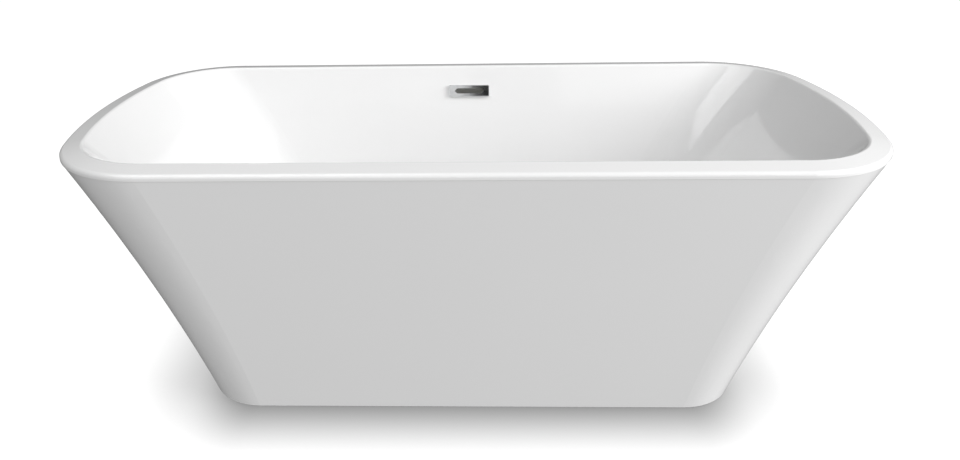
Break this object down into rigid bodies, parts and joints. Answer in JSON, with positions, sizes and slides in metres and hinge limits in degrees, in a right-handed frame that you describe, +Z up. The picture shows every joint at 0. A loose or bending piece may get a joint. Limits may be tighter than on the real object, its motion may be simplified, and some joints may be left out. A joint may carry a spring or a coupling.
{
  "type": "freestanding bathtub",
  "caption": "White freestanding acrylic bathtub with a flared skirt, sloped rim, slotted chrome overflow, push-down waste and a levelling steel cradle",
  "frame": {"origin": "on the floor under the middle of the tub, at the bottom centre of its bounding box", "axes": "+Z up, +X along the tub to the right of someone facing the front long side, +Y from the front long side to the back one that holds the overflow"},
  "size_m": [1.7, 0.8, 0.5896],
  "materials": {
    "acrylic": "smooth high-gloss white",
    "plywood": "raw birch plywood",
    "galvanised_steel": "zinc-coated tube and sheet",
    "zinc_steel": "bright zinc plate",
    "zinc_screws": "bright zinc plate",
    "chrome": "polished chrome",
    "brass": "turned brass",
    "black_rubber": "matt rubber",
    "black_plastic": "moulded",
    "white_plastic": "moulded",
    "grey_plastic": "extruded"
  },
  "bodies": {
    "tub": {"inner_basin": "acrylic", "outer_skirt": "acrylic", "base_board": "plywood", "long_rail_front": "galvanised_steel", "long_rail_back": "galvanised_steel", "cross_rail_left": "galvanised_steel", "cross_rail_right": "galvanised_steel", "rail_end_caps": "black_plastic", "board_screws": "zinc_screws", "bracket_screws": "zinc_screws", "rail_nuts": "zinc_steel", "lock_nuts": "zinc_steel", "overflow_cover": "chrome", "overflow_gasket": "black_rubber", "overflow_body": "white_plastic", "overflow_screws": "zinc_screws", "overflow_slip_nut": "white_plastic", "overflow_pipe": "grey_plastic", "waste_flange": "chrome", "flange_seal": "black_rubber", "tee_seal": "black_rubber", "waste_tee": "white_plastic", "tee_slip_nut": "white_plastic", "tailpiece": "chrome", "tailpiece_washer": "black_rubber", "tailpiece_nut": "white_plastic", "skirt_bracket_front_left": "galvanised_steel", "skirt_bracket_front_right": "galvanised_steel", "skirt_bracket_back_left": "galvanised_steel", "skirt_bracket_back_right": "galvanised_steel"},
    "stopper": {"stopper_cap": "chrome", "stopper_seal": "black_rubber", "stopper_stem": "brass", "stopper_clip": "brass"},
    "pad_front_left": {"foot_pad_front_left": "black_plastic"},
    "screw_front_left": {"foot_stem_front_left": "zinc_steel"},
    "pad_front_right": {"foot_pad_front_right": "black_plastic"},
    "screw_front_right": {"foot_stem_front_right": "zinc_steel"},
    "pad_back_left": {"foot_pad_back_left": "black_plastic"},
    "screw_back_left": {"foot_stem_back_left": "zinc_steel"},
    "pad_back_right": {"foot_pad_back_right": "black_plastic"},
    "screw_back_right": {"foot_stem_back_right": "zinc_steel"}
  },
  "joints": [
    {"name": "stopper_lift", "type": "slide", "parent": "tub", "child": "stopper", "axis": [0, 0, 1], "range_m": [0, 0.009]},
    {"name": "foot_height_front_left", "type": "slide", "parent": "tub", "child": "pad_front_left", "axis": [0, 0, 1], "range_m": [-0.014, 0.002]},
    {"name": "foot_turn_front_left", "type": "hinge", "parent": "pad_front_left", "child": "screw_front_left", "pos_m": [-0.44, -0.249, 0.006], "axis": [0, 0, 1], "range_deg": [-2881, 412]},
    {"name": "foot_height_front_right", "type": "slide", "parent": "tub", "child": "pad_front_right", "axis": [0, 0, 1], "range_m": [-0.014, 0.002]},
    {"name": "foot_turn_front_right", "type": "hinge", "parent": "pad_front_right", "child": "screw_front_right", "pos_m": [0.44, -0.249, 0.006], "axis": [0, 0, 1], "range_deg": [-2881, 412]},
    {"name": "foot_height_back_left", "type": "slide", "parent": "tub", "child": "pad_back_left", "axis": [0, 0, 1], "range_m": [-0.014, 0.002]},
    {"name": "foot_turn_back_left", "type": "hinge", "parent": "pad_back_left", "child": "screw_back_left", "pos_m": [-0.44, 0.249, 0.006], "axis": [0, 0, 1], "range_deg": [-2881, 412]},
    {"name": "foot_height_back_right", "type": "slide", "parent": "tub", "child": "pad_back_right", "axis": [0, 0, 1], "range_m": [-0.014, 0.002]},
    {"name": "foot_turn_back_right", "type": "hinge", "parent": "pad_back_right", "child": "screw_back_right", "pos_m": [0.44, 0.249, 0.006], "axis": [0, 0, 1], "range_deg": [-2881, 412]}
  ],
  "couplings": [
    {"joint": "foot_turn_front_left", "follows": "foot_height_front_left", "rad_per_m": 3590.4},
    {"joint": "foot_turn_front_right", "follows": "foot_height_front_right", "rad_per_m": 3590.4},
    {"joint": "foot_turn_back_left", "follows": "foot_height_back_left", "rad_per_m": 3590.4},
    {"joint": "foot_turn_back_right", "follows": "foot_height_back_right", "rad_per_m": 3590.4}
  ]
}
